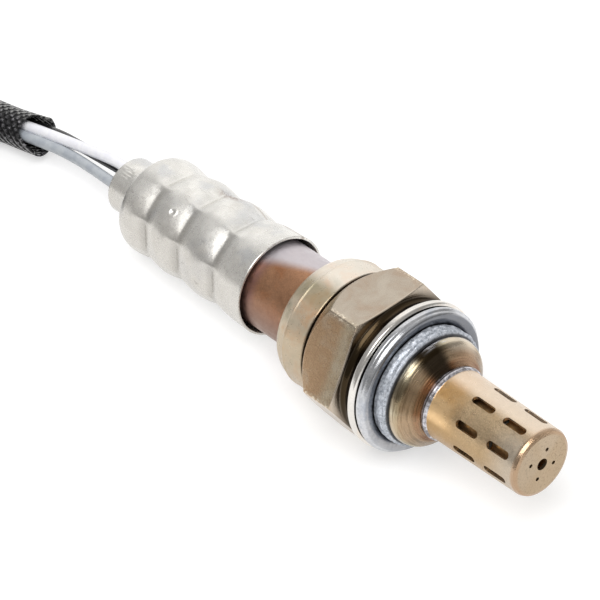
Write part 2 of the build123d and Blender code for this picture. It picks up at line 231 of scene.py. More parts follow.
def steel(name, colour, stain, roughness, grain=0.2, mottle=0.35, turned=0.0, speckle=0.12, stained=0.6,
          marks_and_painted_light=None, gloss=None, metallic=1.0):
    """Worn metal: cloudy tone, a stain in patches, fine grain, turned rings where a lathe left them, and
    each part's own marks and painted light and shade.
    """
    g = Graph(name)
    place = g.position()
    x, radius, angle = g.axis()
    clouds = g.noise(place, mottle, 4.0, 0.65)
    tone = g.mix(g.between(clouds, 0.38, 0.62), shade(colour, 0.86), colour)
    patches = g.noise(place, mottle * 0.7, 5.0, 0.7, 0.8)
    tone = g.over(tone, stain, g.between(patches, 0.47, 0.68, 0.0, stained))
    fine = g.noise(place, 4.5, 3.0, 0.7)
    tone = g.over(tone, shade(colour, 0.45), g.between(fine, 0.3, 0.7, speckle, 0.0))
    # Each part's own marks, with the painted light and shade that part has.
    if marks_and_painted_light is not None:
        tone = marks_and_painted_light(g, tone, x, radius, angle)
    g.set(Base_Color=tone, Metallic=metallic(g, x) if callable(metallic) else metallic)
    worn = g.between(g.noise(place, 1.3, 5.0, 0.65), 0.3, 0.7, roughness * 0.8, roughness * 1.25)
    g.set(Roughness=g.times(worn, gloss(g, x)) if gloss else worn)
    surface = g.bump(fine, grain, 0.04)
    if turned:
        rings = g.noise(g.join(g.times(x, 4.0), g.times(angle, 0.35), g.times(radius, 4.0)), 1.0, 3.0, 0.75)
        surface = g.bump(rings, turned(g, x) if callable(turned) else turned, 0.06, surface)
    g.set(Normal=surface)
    return g.material


# Shared shapes

def place_piece(name, mesh, material, node=None):
    """A piece that rides on the sensor, in place of a solid where one is named."""
    piece = bpy.data.objects.new(name, mesh)
    bpy.context.scene.collection.objects.link(piece)
    mesh.materials.append(material)
    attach(piece, "root")
    if node:
        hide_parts(node)
    return piece


def finished(name, vertices, faces, sharp=40):
    """A closed mesh, smooth but for its sharp edges."""
    mesh = bpy.data.meshes.new(name)
    mesh.from_pydata([[part * MM for part in vertex] for vertex in vertices], [], faces)
    work = bmesh.new()
    work.from_mesh(mesh)
    bmesh.ops.remove_doubles(work, verts=work.verts, dist=0.0005 * MM)
    bmesh.ops.recalc_face_normals(work, faces=work.faces)
    work.to_mesh(mesh)
    work.free()
    mesh.shade_smooth()
    mesh.set_sharp_from_angle(angle=math.radians(sharp))
    return mesh


def rounded(corners, steps=4):
    """An outline of (x, radius, cut) corners, each cut rounded off by that much of its sides."""
    points = []
    for i, (x, r, *cut) in enumerate(corners):
        if not cut:
            points.append((x, r))
            continue
        corner = Vector((x, r))
        ends = []
        for other in (corners[i - 1], corners[(i + 1) % len(corners)]):
            side = Vector(other[:2]) - corner
            ends.append(corner + side.normalized() * min(cut[0], 0.45 * side.length))
        for step in range(steps + 1):
            t = step / steps
            spot = ends[0] * (1 - t) ** 2 + corner * 2 * t * (1 - t) + ends[1] * t * t
            points.append((spot.x, spot.y))
    return points


def turned_mesh(name, section, angles, sharp=40):
    """A ring of closed sections round the sensor's axis; section(angle) gives (x, radius) points."""
    rows = [section(angle) for angle in angles]
    count = len(rows[0])
    vertices = []
    for angle, row in zip(angles, rows):
        c, s = math.cos(math.radians(angle)), math.sin(math.radians(angle))
        vertices.extend(lying(x, r * c, r * s) for x, r in row)
    faces = []
    for j in range(len(angles)):
        k = (j + 1) % len(angles)
        for i in range(count):
            n = (i + 1) % count
            faces.append((j * count + i, j * count + n, k * count + n, k * count + i))
    return finished(name, vertices, faces, sharp)


def even_angles(count):
    return [360 * i / count for i in range(count)]


# Shell: hex, collar and rolled lip in one piece

HEX_HALF_FLATS = 11.0
HEX_CORNER_R = 12.7
HEX_CORNER_SOFT = 0.1
HEX_FRONT_X = -5.3
HEX_BACK_X = -10.96
CHAMFER_R = 10.95         # where the front chamfer starts
FRONT_CHAMFER = 0.257     # each chamfer's run along the axis for its rise
BACK_CHAMFER = 1.257
# Degrees from a corner at which the shell's sections stand, closest where the outline turns
FLAT_STEPS = [0, 0.3, 0.6, 1.0, 1.5, 2.2, 3.2, 4.5, 6, 8, 10.5, 13.5, 16.5, 20, 23.5, 27]


def hex_radius(angle):
    """The hex's outline: the nearer flat, rounded off into the next one at the corner."""
    away = abs(angle % 60 - 30)
    nearer = HEX_HALF_FLATS / math.cos(math.radians(away))
    next_one = HEX_HALF_FLATS / math.cos(math.radians(60 - away))
    return smooth_min(nearer, next_one, HEX_CORNER_SOFT)


def shell_section(angle):
    """The shell's profile, from its nose back over thread, rim, hex and collar, and home along the bore."""
    across = hex_radius(angle)
    front_edge = HEX_FRONT_X - (across - CHAMFER_R) * FRONT_CHAMFER
    back_edge = HEX_BACK_X - (HEX_CORNER_R - across) * BACK_CHAMFER
    lip = [(5.6, 5.5), (5.6, 5.72, 0.06), (5.44, 5.9, 0.05), (5.36, 5.86, 0.04), (5.2, 6.14, 0.05),
           (5.12, 6.1, 0.04), (4.96, 6.44, 0.05), (4.88, 6.42, 0.04), (4.78, 6.66, 0.1)]
    nose = [(4.3, 7.22, 0.15), (3.7, 7.9, 0.2), (3.3, 8.3, 0.25), (2.5, 8.5, 0.3), (2.08, 8.44, 0.06),
            (2.02, 8.24, 0.03), (1.86, 8.24, 0.03)]
    thread = [(1.8, 8.55, 0.1), (1.5, 8.95, 0.1), (-0.25, 8.95, 0.1), (-0.7, 8.55, 0.05),
              (-1.9, 8.55, 0.05)]
    rim = [(-1.9, 11.12, 0.12), (-2.14, 11.55, 0.2), (-2.92, 11.55, 0.14), (-3.12, 11.2, 0.14)]
    neck = [(-3.5, 10.78, 0.3), (-4.5, 10.36, 0.5), (-5.18, 10.72, 0.2), (HEX_FRONT_X, CHAMFER_R, 0.04)]
    hexagon = [(front_edge, across, 0.1), (front_edge - 1.2, across), (front_edge - 2.6, across),
               (back_edge, across, 0.1), (-13.62, 10.56, 0.12), (-13.7, 10.3, 0.05)]
    groove = [(-13.74, 9.75, 0.08), (-14.0, 9.5, 0.1), (-14.34, 9.6, 0.08)]
    collar = [(-14.4, 10.04, 0.04), (-14.56, 10.16, 0.06), (-18.1, 10.14, 0.1), (-18.42, 10.24, 0.08),
              (-18.78, 10.02, 0.08), (-19.7, 9.84, 0.5), (-20.5, 9.45, 0.3), (-21.05, 8.85, 0.3),
              (-21.38, 8.2, 0.3), (-21.35, 7.5, 0.25), (-20.9, 7.06, 0.1), (-20.6, 7.02)]
    bore = [(-19.6, 7.6), (-8.0, 7.6), (-8.0, 5.8), (-4.6, 5.8), (-4.6, 3.7), (2.5, 3.7), (2.5, 6.25),
            (4.3, 6.25), (4.3, 5.5)]
    return rounded(lip + nose + thread + rim + neck + hexagon + groove + collar + bore)


shell_angles = []
for corner in range(0, 360, 60):
    shell_angles += [corner + step for step in FLAT_STEPS]
    shell_angles += [corner + 60 - step for step in FLAT_STEPS[:0:-1]]


def along_shell(g, x):
    """0 behind the shell's collar, 1 in front of its nose."""
    return g.math("DIVIDE", g.math("ADD", x, 22.0), 28.0)


def shell_look(g, tone, x, radius, angle):
    """Tones along the shell: pale collar, grey hex, bright rim, bronze nose and brown lip; stains, worn hex
    corners, turned streaks and a paste smear; painted shade in the collar groove and on the neck; painted
    light and shade on the collar, the hex's flats and the nose; and painted shade between the rim and the
    gasket.
    """
    # The dark stops at the groove behind the hex and at the neck before the rim are painted shade.
    band = g.ramp(along_shell(g, x), [
        (0.0, rgb(216, 202, 180)), (0.262, rgb(214, 198, 174)), (0.272, rgb(78, 64, 48)),
        (0.294, rgb(78, 64, 48)), (0.3, rgb(206, 193, 177)), (0.585, rgb(206, 193, 177)),
        (0.6, rgb(58, 48, 34)), (0.668, rgb(70, 58, 42)), (0.684, rgb(236, 232, 226)),
        (0.72, rgb(236, 232, 226)), (0.86, rgb(212, 206, 188)), (0.905, rgb(190, 178, 150)),
        (0.922, rgb(172, 150, 122)), (0.955, rgb(170, 144, 114)), (0.968, rgb(142, 96, 62)),
        (1.0, rgb(126, 86, 56))])
    tone = g.mix(1.0, band, g.mix(0.6, (1.0, 1.0, 1.0), tone), "MULTIPLY")
    blotch = g.noise(g.position(), 0.28, 5.0, 0.62, 0.6)
    collar = g.between(x, -14.3, -14.7)
    tone = g.over(tone, rgb(206, 164, 122), collar, g.between(blotch, 0.47, 0.68, 0.0, 0.7))
    tone = g.over(tone, rgb(168, 162, 140), collar, g.between(blotch, 0.48, 0.32, 0.0, 0.6))
    # Painted light and shade on the collar: a painted dark reflection along its upper near side, a painted
    # highlight along its top, and painted shade low on its near side.
    tone = g.over(tone, rgb(146, 138, 108), collar, g.beside(angle, 113, 4, 15), 0.5)
    tone = g.over(tone, rgb(250, 246, 238), collar, g.beside(angle, 76, 12, 34), 0.5)
    tone = g.over(tone, rgb(184, 166, 138), collar, g.beside(angle, 195, 15, 65), 0.6)
    hexagon = g.times(g.between(x, -13.5, -13.3), g.between(x, -5.6, -5.8))
    # Painted light and shade on the hex's flats: the near flat browner and the top flat greyer, with a
    # painted highlight toward the front of the near flat.
    tone = g.over(tone, rgb(176, 147, 116), hexagon, g.beside(angle, 150, 26, 36))
    tone = g.over(tone, rgb(176, 164, 149), hexagon, g.beside(angle, 90, 26, 36))
    front_band = g.times(g.between(x, -8.6, -6.8), g.beside(angle, 150, 26, 36))
    tone = g.over(tone, rgb(180, 172, 150), hexagon, front_band, 0.55)
    tone = g.over(tone, rgb(160, 126, 98), hexagon, g.between(blotch, 0.44, 0.7, 0.0, 0.3))
    tone = g.over(tone, rgb(204, 198, 184), hexagon, g.between(blotch, 0.52, 0.32, 0.0, 0.2))
    nicks = g.noise(g.position(), 2.4, 4.0, 0.75)
    corner = g.times(hexagon, g.between(radius, 12.3, 12.6))
    tone = g.over(tone, rgb(244, 232, 210), corner, g.between(nicks, 0.52, 0.6, 0.0, 0.8))
    nose = g.between(x, 2.0, 2.1)
    streaks = g.noise(g.join(g.times(x, 3.2), g.times(angle, 1.4), g.times(radius, 3.2)), 1.0, 4.0, 0.75)
    tone = g.over(tone, rgb(80, 64, 40), nose, g.between(streaks, 0.46, 0.6, 0.0, 0.55))
    # Painted shade and highlights round the nose: a dark band along its top, a second dark band on its
    # upper near side, a painted highlight low on its near side, and a pale lit band on its upper far side,
    # paler on the cylinder than on the front cone.
    front = g.between(x, 3.6, 4.6)
    for middle, full, none, amount, colour in (
            (98, 8, 22, 0.97, rgb(38, 28, 14)), (150, 6, 20, 0.55, rgb(84, 64, 38)),
            (192, 8, 26, 0.32, rgb(206, 176, 144)),
            (52, 10, 28, 0.7, g.mix(front, rgb(224, 210, 190), rgb(166, 136, 108)))):
        tone = g.over(tone, colour, nose, g.beside(angle, middle, full, none), amount)
    smear = g.times(nose, g.between(x, 3.3, 2.5), g.beside(angle, 70, 16, 36))
    tone = g.over(tone, rgb(224, 224, 230), smear, g.between(streaks, 0.5, 0.58))
    # Painted shade in the hollow between the rim and the gasket.
    rim_hollow_shade = g.times(g.between(x, -2.05, -1.95), g.between(radius, 11.18, 11.08))
    return g.over(tone, rgb(30, 26, 24), rim_hollow_shade, g.between(x, -0.9, -1.2))


def shell_turning(g, x):
    """Turned rings, faint behind the thread and plain to see on the nose."""
    return g.between(x, 1.9, 2.1, 0.22, 0.85)


def shell_bareness(g, x):
    """The collar and the front cone carry a dull baked film, and the rest is bare metal."""
    return g.times(g.between(x, -14.7, -14.3, 0.55, 1.0), g.between(x, 3.6, 4.0, 1.0, 0.75))


def shell_gloss(g, x):
    """Roughness along the shell, as a share of the steel's own."""
    return g.ramp(along_shell(g, x), [
        (0.0, 1.25), (0.262, 1.25), (0.275, 0.6), (0.3, 0.95), (0.585, 0.95), (0.6, 0.5), (0.668, 0.5),
        (0.684, 0.55), (0.72, 0.6), (0.85, 0.55), (0.91, 0.6), (0.925, 1.25), (1.0, 0.9)])


shell_steel = steel(
    "bronze_steel", (0.97, 0.97, 0.97), rgb(236, 206, 172), roughness=0.26, grain=0.3, mottle=0.2,
    turned=shell_turning, speckle=0.35, marks_and_painted_light=shell_look, gloss=shell_gloss, metallic=shell_bareness)
place_piece("hex_shell", turned_mesh("hex_shell", shell_section, shell_angles, sharp=32), shell_steel,
            "shell")


# Folded gasket, slightly uneven round its edge

def gasket_section(angle):
    """Two folds of sheet steel, the front one rolled in and a little wavy."""
    wave = 0.05 * math.sin(math.radians(3 * angle + 40)) + 0.03 * math.sin(math.radians(7 * angle))
    return rounded([
        (-1.9, 9.35), (-1.9, 10.1), (-1.76, 10.15, 0.1), (-1.7, 10.95, 0.15), (-1.5, 11.24 + wave, 0.14),
        (-0.86, 11.28 + wave, 0.16), (-0.6, 10.98, 0.16), (-0.42, 10.92, 0.1), (-0.12, 10.74, 0.25),
        (0.0, 10.34, 0.25), (-0.02, 9.98 + wave, 0.2), (-0.1, 9.64, 0.15), (-0.18, 9.4, 0.1),
        (-0.26, 9.16, 0.05), (-0.4, 9.02), (-1.4, 9.02),
    ])


def gasket_look(g, tone, x, radius, angle):
    """Painted shade in the slot behind the rolled edge, over the front face but for its lower near side,
    and where the gasket meets the thread, over a cloudy tone.
    """
    # Painted shade in the slot behind the rolled edge.
    gap_shade = g.times(g.between(radius, 10.95, 10.75), g.between(x, -1.4, -1.6))
    tone = g.over(tone, rgb(20, 18, 18), gap_shade)
    inner = g.noise(g.position(), 1.6, 4.0, 0.7)
    # Painted shade over the front face, lighter on its lower near side.
    lit_side = g.times(g.beside(angle, 215, 25, 70), 0.6)
    tone = g.over(tone, rgb(108, 110, 115), g.between(radius, 10.95, 10.55, 0.0, 0.88),
                  g.math("SUBTRACT", 1.0, lit_side))
    tone = g.over(tone, rgb(120, 124, 134), g.between(inner, 0.45, 0.7, 0.0, 0.3))
    # Painted shade where the gasket meets the thread.
    return g.over(tone, rgb(46, 49, 58), g.between(radius, 9.75, 9.3, 0.0, 0.9))


gasket_steel = steel(
    "gasket_steel", rgb(214, 215, 218), rgb(170, 176, 188), roughness=0.22, grain=0.3, mottle=0.5,
    turned=0.35, speckle=0.2, marks_and_painted_light=gasket_look)
place_piece("folded_gasket", turned_mesh("folded_gasket", gasket_section, even_angles(180)), gasket_steel,
            "crush_gasket")


# Anti-seize paste smeared over the short thread, whose helix swells through it

THREAD_PITCH = 1.5
THREAD_SHOWS = 0.07       # how far the helix swells through
PASTE_R = 8.99
SMEAR_SIDE = 78


def paste_section(angle):
    """A lumpy film, thicker on the side where it was smeared, with its inside in the thread."""
    turn = math.radians(angle)
    lump = noise.fractal(Vector((3 * math.cos(turn), 3 * math.sin(turn), 0.4)), 0.6, 2.2, 5)
    points = []
    for x in [-0.3 + 0.11 * i for i in range(20)]:
        fine = noise.fractal(Vector((7 * math.cos(turn), 7 * math.sin(turn), 2.4 * x)), 0.7, 2.1, 5)
        edge = min(near(x, 0.75, 1.35) * 3, 1)
        smear = 1 + 0.9 * near(turn_between(angle, SMEAR_SIDE), 0, 34)
        crest = THREAD_SHOWS * math.cos(2 * math.pi * x / THREAD_PITCH - turn)
        thick = smear * (0.1 + 0.05 * lump + 0.1 * fine)
        points.append((x + 0.04 * lump, PASTE_R + edge * (crest + thick)))
    return [(-0.3, 8.9)] + points + [(1.94, 8.6), (2.0, 8.3), (1.8, 8.3), (1.5, 8.6)]


def paste_material():
    g = Graph("anti_seize_paste")
    place = g.position()
    clumps = g.noise(place, 2.2, 5.0, 0.75)
    glitter = g.noise(place, 6.5, 2.0, 0.8)
    tone = g.mix(g.between(clumps, 0.35, 0.62), rgb(148, 155, 165), rgb(216, 221, 229))
    tone = g.over(tone, rgb(250, 250, 255), g.between(glitter, 0.6, 0.68))
    x, _, _ = g.axis()
    # Painted shade at both ends of the paste, where it meets the gasket and the nose.
    tone = g.over(tone, rgb(50, 49, 52),
                  g.math("MAXIMUM", g.between(x, -0.1, -0.24), g.between(x, 1.84, 1.95, 0.0, 0.9)))
    g.set(Base_Color=tone, Metallic=0.55)
    g.set(Roughness=g.between(glitter, 0.35, 0.65, 0.6, 0.3))
    g.set(Normal=g.bump(clumps, 0.5, 0.12, g.bump(glitter, 0.4, 0.05)))
    return g.material


place_piece("thread_paste", turned_mesh("thread_paste", paste_section, even_angles(288), sharp=80),
            paste_material())


# Outer sleeve: barrel bulges between three rings of eight crimp flats

CRIMP_X = [-38.1, -46.2, -53.7]
CRIMP_FLAT_R = 6.9
JAW_APART = 45            # degrees from one of the crimp tool's jaws to the next
JAW_TURN = 128.4          # the angle of the first jaw
SLEEVE_R = 7.86
SLEEVE_WALL = 0.4
NECK_R = 4.5
NICK = (-49.1, 124.1)     # its place along the axis and angle round it
NICK_DEGREE = 0.132       # one degree round the sleeve, in millimetres


def sleeve_radius(x, angle):
    """A barrel, drawn in and pressed to eight flats at each ring of crimps, with dents and one nick."""
    radius = SLEEVE_R + 0.12 * min(max((x + 35.5) / 4.5, 0), 1) ** 1.5 - 0.12 * near(x, -58.6, 2.4)
    nearest_jaw = JAW_TURN + JAW_APART * round(turn_between(angle, JAW_TURN) / JAW_APART)
    away = turn_between(angle, nearest_jaw)
    for centre in CRIMP_X:
        radius -= 0.22 * near(x, centre, 3.9)
    for ring, centre in enumerate(CRIMP_X):
        step = x - centre
        slope, soft = (0.36, 0.5) if step < 0 else (0.47, 0.7)
        uneven = 0.04 * math.sin(math.radians(2.3 * angle + 100 * ring))
        flat = CRIMP_FLAT_R + uneven + slope * (math.sqrt(step * step + 0.014) - 0.12)
        pressed = flat / math.cos(math.radians(away))
        radius = smooth_min(radius, pressed, soft)
        radius += 0.1 * near(x, centre + 0.05, 0.55) * near(abs(away), 20.8, 3.0)
    turn = math.radians(angle)
    radius += 0.035 * noise.noise(Vector((2.2 * math.cos(turn), 2.2 * math.sin(turn), 0.25 * x)))
    radius += 0.012 * noise.noise(Vector((7 * math.cos(turn), 7 * math.sin(turn), 0.9 * x)))
    reach = math.hypot(x - NICK[0], turn_between(angle, NICK[1]) * NICK_DEGREE)
    return radius - 0.16 * near(reach, 0, 0.5) + 0.05 * near(reach, 0.55, 0.3)


def neck_radius(x, angle):
    """The neck round the grommet, dented, with tool marks on its upper side."""
    turn = math.radians(angle)
    dent = noise.noise(Vector((2.6 * math.cos(turn), 2.6 * math.sin(turn), 0.8 * x + 4)))
    marks = near(x, -63.4, 2.2) * near(turn_between(angle, 112), 0, 26)
    scored = 0.12 * marks * (0.5 + noise.noise(Vector((0.3 * angle, 0, 1.6 * x))))
    return NECK_R + 0.03 * dent - scored


def sleeve_section(angle):
    """The sleeve's wall: barrel and shoulder, then the neck, and back along the inside."""
    barrel = [-31.0 - 0.148 * step for step in range(183)]
    neck = [-61.0 - 0.19 * step for step in range(24)]
    inside = [-58.0 + 0.8 * step for step in range(1, 34)]
    points = [(-30.8, 7.62), (-30.8, 7.88), (-30.86, 7.95)]
    points += [(x, sleeve_radius(x, angle)) for x in barrel]
    points += rounded([
        (-58.2, sleeve_radius(-58.1, angle)), (-59.2, 7.42, 0.9), (-59.7, 6.6, 0.5), (-59.8, 5.6, 0.3),
        (-59.85, 4.9, 0.3), (-60.6, 4.52, 0.3), (-60.9, neck_radius(-60.9, angle))])[1:-1]
    points += [(x, neck_radius(x, angle)) for x in neck]
    points += [(-65.46, 4.46), (-65.5, 4.38), (-65.5, 4.14), (-65.4, 4.1), (-60.0, 4.1), (-59.35, 5.2),
               (-59.1, 6.6), (-58.0, 7.2)]
    points += [(x, sleeve_radius(x, angle) - SLEEVE_WALL) for x in inside]
    return points + [(-30.95, 7.53)]


def sleeve_look(g, tone, x, radius, angle):
    """Painted shade low on the sleeve's near side and in its crimps, a brown smudge near the top, fine
    scratches along it.
    """
    y = g.times(g.math("COSINE", angle), radius)
    smudge = g.times(g.between(g.apart(x, -45.2), 0.6, 3.0, 1.0, 0.0),
                     g.between(g.apart(angle, 0.98), 0.04, 0.3, 1.0, 0.0))
    rough = g.noise(g.position(), 2.2, 5.0, 0.75)
    tone = g.over(tone, rgb(108, 72, 54), smudge, g.between(rough, 0.38, 0.54))
    cool = g.noise(g.position(), 0.22, 3.0, 0.5)
    tone = g.over(tone, rgb(196, 198, 201), g.between(cool, 0.5, 0.66, 0.0, 0.5))
    line = g.times(g.between(x, -44.0, -40.0), g.between(g.apart(angle, 0.86), 0.02, 0.07, 1.0, 0.0))
    tone = g.over(tone, rgb(140, 118, 96), line, 0.5)
    # Painted shade low on the near side.
    tone = g.over(tone, rgb(197, 192, 184), g.beside(angle, 190, 20, 75), 0.6)
    for centre in CRIMP_X:
        # Painted shade in each ring of crimps, on the near side.
        crimp_shade = g.between(g.apart(x, centre + 0.3), 0.2, 1.7, 0.42, 0.0)
        tone = g.over(tone, rgb(150, 146, 140), crimp_shade, g.beside(angle, 165, 45, 85))
    scratch = g.noise(g.join(g.times(x, 0.5), g.times(y, 5.0), g.times(angle, 9.0)), 1.0, 2.0, 0.5)
    return g.over(tone, rgb(120, 116, 110), g.between(scratch, 0.66, 0.74, 0.0, 0.35))


sleeve_steel = steel(
    "satin_steel", rgb(234, 232, 227), rgb(214, 210, 203), roughness=0.28, grain=0.08, mottle=0.3,
    speckle=0.03, stained=0.5, marks_and_painted_light=sleeve_look, metallic=0.72)
place_piece("crimped_sleeve", turned_mesh("crimped_sleeve", sleeve_section, even_angles(240), sharp=50),
            sleeve_steel, "outer_sleeve")


# Cords: each route's points are those of its solid

LEAD_R = 3.0
LEAD_Z = SURFACE_Z + 3.15     # height of the lead's middle where it lies on the surface
TIE_LIFT = 0.7                # how much higher the tie holds it
WIRE_R = 0.85
LEAD_POINTS = [
    (-85.2, -0.5, -7.6), (-95.5, -3.3, LEAD_Z - 0.1), (-111.0, -4.9, LEAD_Z), (-128.5, -4.4, LEAD_Z),
    (-148.5, -3.4, LEAD_Z + TIE_LIFT), (-175.0, -3.4, LEAD_Z + TIE_LIFT), (-202.8, 16.1, LEAD_Z),
    (-219.5, 14.1, LEAD_Z), (-231.1, 1.1, LEAD_Z), (-231.1, -15.1, LEAD_Z), (-219.8, -27.7, LEAD_Z),
    (-202.8, -29.6, LEAD_Z), (-173.0, -10.3, LEAD_Z + TIE_LIFT), (-158.0, -10.3, LEAD_Z + TIE_LIFT),
    (-142.0, -17.5, -7.4), (-128.0, -17.5, -7.4),
]
WIRE_POINTS = {
    "white_wire_1": [lying(-43.6, 0.36, 2.07), lying(-67.0, 0.36, 2.6), (-71.0, 0.3, -3.05),
                     (-77.9, 0.06, -4.95), (-84.6, -0.6, -6.35), (-94.0, -2.3, -7.7)],
    "grey_wire": [lying(-43.6, -2.07, 0.36), lying(-66.0, -2.07, 0.62), (-71.2, -1.8, -4.88),
                  (-77.5, -1.35, -6.1), (-84.5, -1.8, -7.25), (-94.0, -3.9, -8.6)],
    "white_wire_2": [lying(-43.6, -0.36, -2.07), lying(-64.0, -0.36, -2.07), (-70.0, -0.3, -7.0),
                     (-77.5, -0.1, -7.8), (-85.2, -0.2, -8.7), (-94.0, -2.4, -10.0)],
    "black_wire": [lying(-43.6, 2.07, -0.36), lying(-62.0, 2.07, -0.36), (-68.8, 1.15, -4.75),
                   (-74.3, 1.0, -5.45), (-79.2, 0.95, -6.2), (-85.0, 0.85, -7.1), (-94.0, -1.0, -8.5)],
}


def spline_curve(name, points):
    """One open smooth spline with the route's points."""
    curve = bpy.data.curves.new(name, "CURVE")
    curve.dimensions = "3D"
    spline = curve.splines.new("NURBS")
    spline.points.add(len(points) - 1)
    for target, (x, y, z) in zip(spline.points, points):
        target.co = (x * MM, y * MM, z * MM, 1)
    spline.order_u = 3
    spline.use_endpoint_u = True
    spline.resolution_u = 40
    return bpy.data.objects.new(name, curve)


def insulation(name, colour, darker):
    """Glossy cable plastic, a little scuffed."""
    g = Graph(name)
    place = g.position()
    tone = g.mix(g.between(g.noise(place, 0.6, 4.0), 0.35, 0.65), darker, colour)
    scuffs = g.noise(place, 3.0, 5.0, 0.7)
    tone = g.over(tone, shade(colour, 0.6), g.between(scuffs, 0.62, 0.75, 0.0, 0.35))
    g.set(Base_Color=tone, Coat_Weight=0.25, Coat_Roughness=0.15)
    g.set(Roughness=g.between(scuffs, 0.3, 0.7, 0.28, 0.42))
    g.set(Normal=g.bump(scuffs, 0.08, 0.03))
    return g.material


INSULATION = {
    "white_wire_1": insulation("white_insulation", rgb(252, 252, 255), rgb(243, 243, 250)),
    "white_wire_2": insulation("second_white_insulation", rgb(230, 231, 240), rgb(210, 212, 224)),
    "grey_wire": insulation("grey_insulation", rgb(186, 191, 196), rgb(170, 176, 184)),
    "black_wire": insulation("black_insulation", rgb(24, 24, 26), rgb(16, 16, 18)),
}
for name, points in WIRE_POINTS.items():
    wire = spline_curve(f"{name}_core", points)
    bpy.context.scene.collection.objects.link(wire)
    wire.data.bevel_depth = WIRE_R * MM
    wire.data.bevel_resolution = 6
    wire.data.resolution_u = 12
    wire.data.use_fill_caps = True
    wire.data.materials.append(INSULATION[name])
    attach(wire, "root")
    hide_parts(name)
    "white_insulation" if "white" in name else f"{name.split('_')[0]}_insulation"


def along_spline(points):
    """Points in millimetres along a route's smooth spline."""
    holder = spline_curve("route", points)
    line = bpy.data.meshes.new_from_object(holder)
    track = [vertex.co / MM for vertex in line.vertices]
    bpy.data.objects.remove(holder)
    bpy.data.meshes.remove(line)
    return track


def evenly(track, spacing):
    """The same line with its points that far apart."""
    marks_and_painted_light, walked, target = [track[0]], 0.0, spacing
    for a, b in zip(track, track[1:]):
        run = (b - a).length
        while walked + run >= target:
            marks_and_painted_light.append(a.lerp(b, (target - walked) / run))
            target += spacing
        walked += run
    return marks_and_painted_light + [track[-1]]


BRAID_ROUND = 48          # vertices in each ring of the lead
RING_STEP = 0.5           # from one ring to the next along it
MOUTH_SIDE = 123.0        # the side where the braid's cut end opens, from +Y toward +Z
NOTCH_DEPTH = 2.7
NOTCH_SPAN = 1.15         # half the notch's width, in radians round the lead
CUT_BACK = 1.3            # from the route's start to the cut end
# (depth, radius) of the rings that line the mouth and run over its lip
MOUTH_RINGS = [(9.0, 0.0), (8.6, 2.5), (7.6, 2.52), (5.5, 2.54), (3.0, 2.58), (1.2, 2.62), (0.35, 2.66),
               (0.0, 2.74), (0.0, 3.02), (0.35, LEAD_R)]
WEAVE_SCALE = 0.01        # units of the weave's map to a millimetre along the lead
STRANDS = 14
STRAND_PITCH = 1.25


def braid_mesh(track):
    """Hollow cut end with a notch in it, then the full lead, with the weave's map on its outside."""
    marks_and_painted_light = evenly(track, RING_STEP)
    count = len(MOUTH_RINGS) + len(marks_and_painted_light) - 2
    vertices, layout = [], []
    side = Vector((0, 1, 0))
    frames = []
    for i, spot in enumerate(marks_and_painted_light):
        ahead = (marks_and_painted_light[min(i + 1, len(marks_and_painted_light) - 1)] - marks_and_painted_light[max(i - 1, 0)]).normalized()
        side = (side - ahead * side.dot(ahead)).normalized()
        frames.append((spot, side.copy(), side.cross(ahead)))

    def at(depth, angle, radius):
        share = max(min(depth / RING_STEP, len(frames) - 1.001), 0)
        i = int(share)
        (a, side_a, up_a), (b, side_b, up_b) = frames[i], frames[i + 1]
        t = share - i
        centre, across, up = a.lerp(b, t), side_a.lerp(side_b, t), up_a.lerp(up_b, t)
        return centre + (across * math.cos(angle) + up * math.sin(angle)) * radius

    open_turn = math.radians(MOUTH_SIDE)
    for i in range(count):
        for j in range(BRAID_ROUND):
            angle = 2 * math.pi * j / BRAID_ROUND
            apart = abs((angle - open_turn + math.pi) % (2 * math.pi) - math.pi)
            frayed = 0.25 * noise.noise(Vector((2.2 * math.cos(angle), 2.2 * math.sin(angle), 3)))
            notch = NOTCH_DEPTH * max(1 - (apart / NOTCH_SPAN) ** 2, 0) ** 0.55 + frayed + CUT_BACK
            if i < len(MOUTH_RINGS):
                inward, radius = MOUTH_RINGS[i]
                depth = notch + inward * (1 - notch / 12)
            else:
                flat = RING_STEP * (i - len(MOUTH_RINGS) + 2)
                depth = flat + max(notch + MOUTH_RINGS[-1][0] - RING_STEP, 0) * max(1 - flat / 16, 0)
                radius = LEAD_R
            spread = 0.35 * max(1 - depth / 7, 0) * max(apart / math.pi, 0.2) if radius > 2 else 0
            vertices.append(at(depth, angle, radius + spread))
            layout.append((j / BRAID_ROUND, depth))
    faces = []
    for i in range(count - 1):
        for j in range(BRAID_ROUND):
            k = (j + 1) % BRAID_ROUND
            faces.append((i * BRAID_ROUND + j, i * BRAID_ROUND + k, (i + 1) * BRAID_ROUND + k,
                          (i + 1) * BRAID_ROUND + j))
    faces.append([(count - 1) * BRAID_ROUND + j for j in range(BRAID_ROUND)])
    mesh = bpy.data.meshes.new("braided_lead")
    mesh.from_pydata([vertex * MM for vertex in vertices], [], faces)
    weave = mesh.uv_layers.new(name="weave")
    for face in mesh.polygons:
        wraps = {0, BRAID_ROUND - 1} <= {corner % BRAID_ROUND for corner in face.vertices}
        for k in face.loop_indices:
            round_share, depth = layout[mesh.loops[k].vertex_index]
            if wraps and round_share == 0:
                round_share = 1.0
            weave.data[k].uv = (round_share, depth * WEAVE_SCALE)
    work = bmesh.new()
    work.from_mesh(mesh)
    bmesh.ops.recalc_face_normals(work, faces=work.faces)
    work.to_mesh(mesh)
    work.free()
    mesh.shade_smooth()
    mesh.set_sharp_from_angle(angle=math.radians(60))
    return mesh


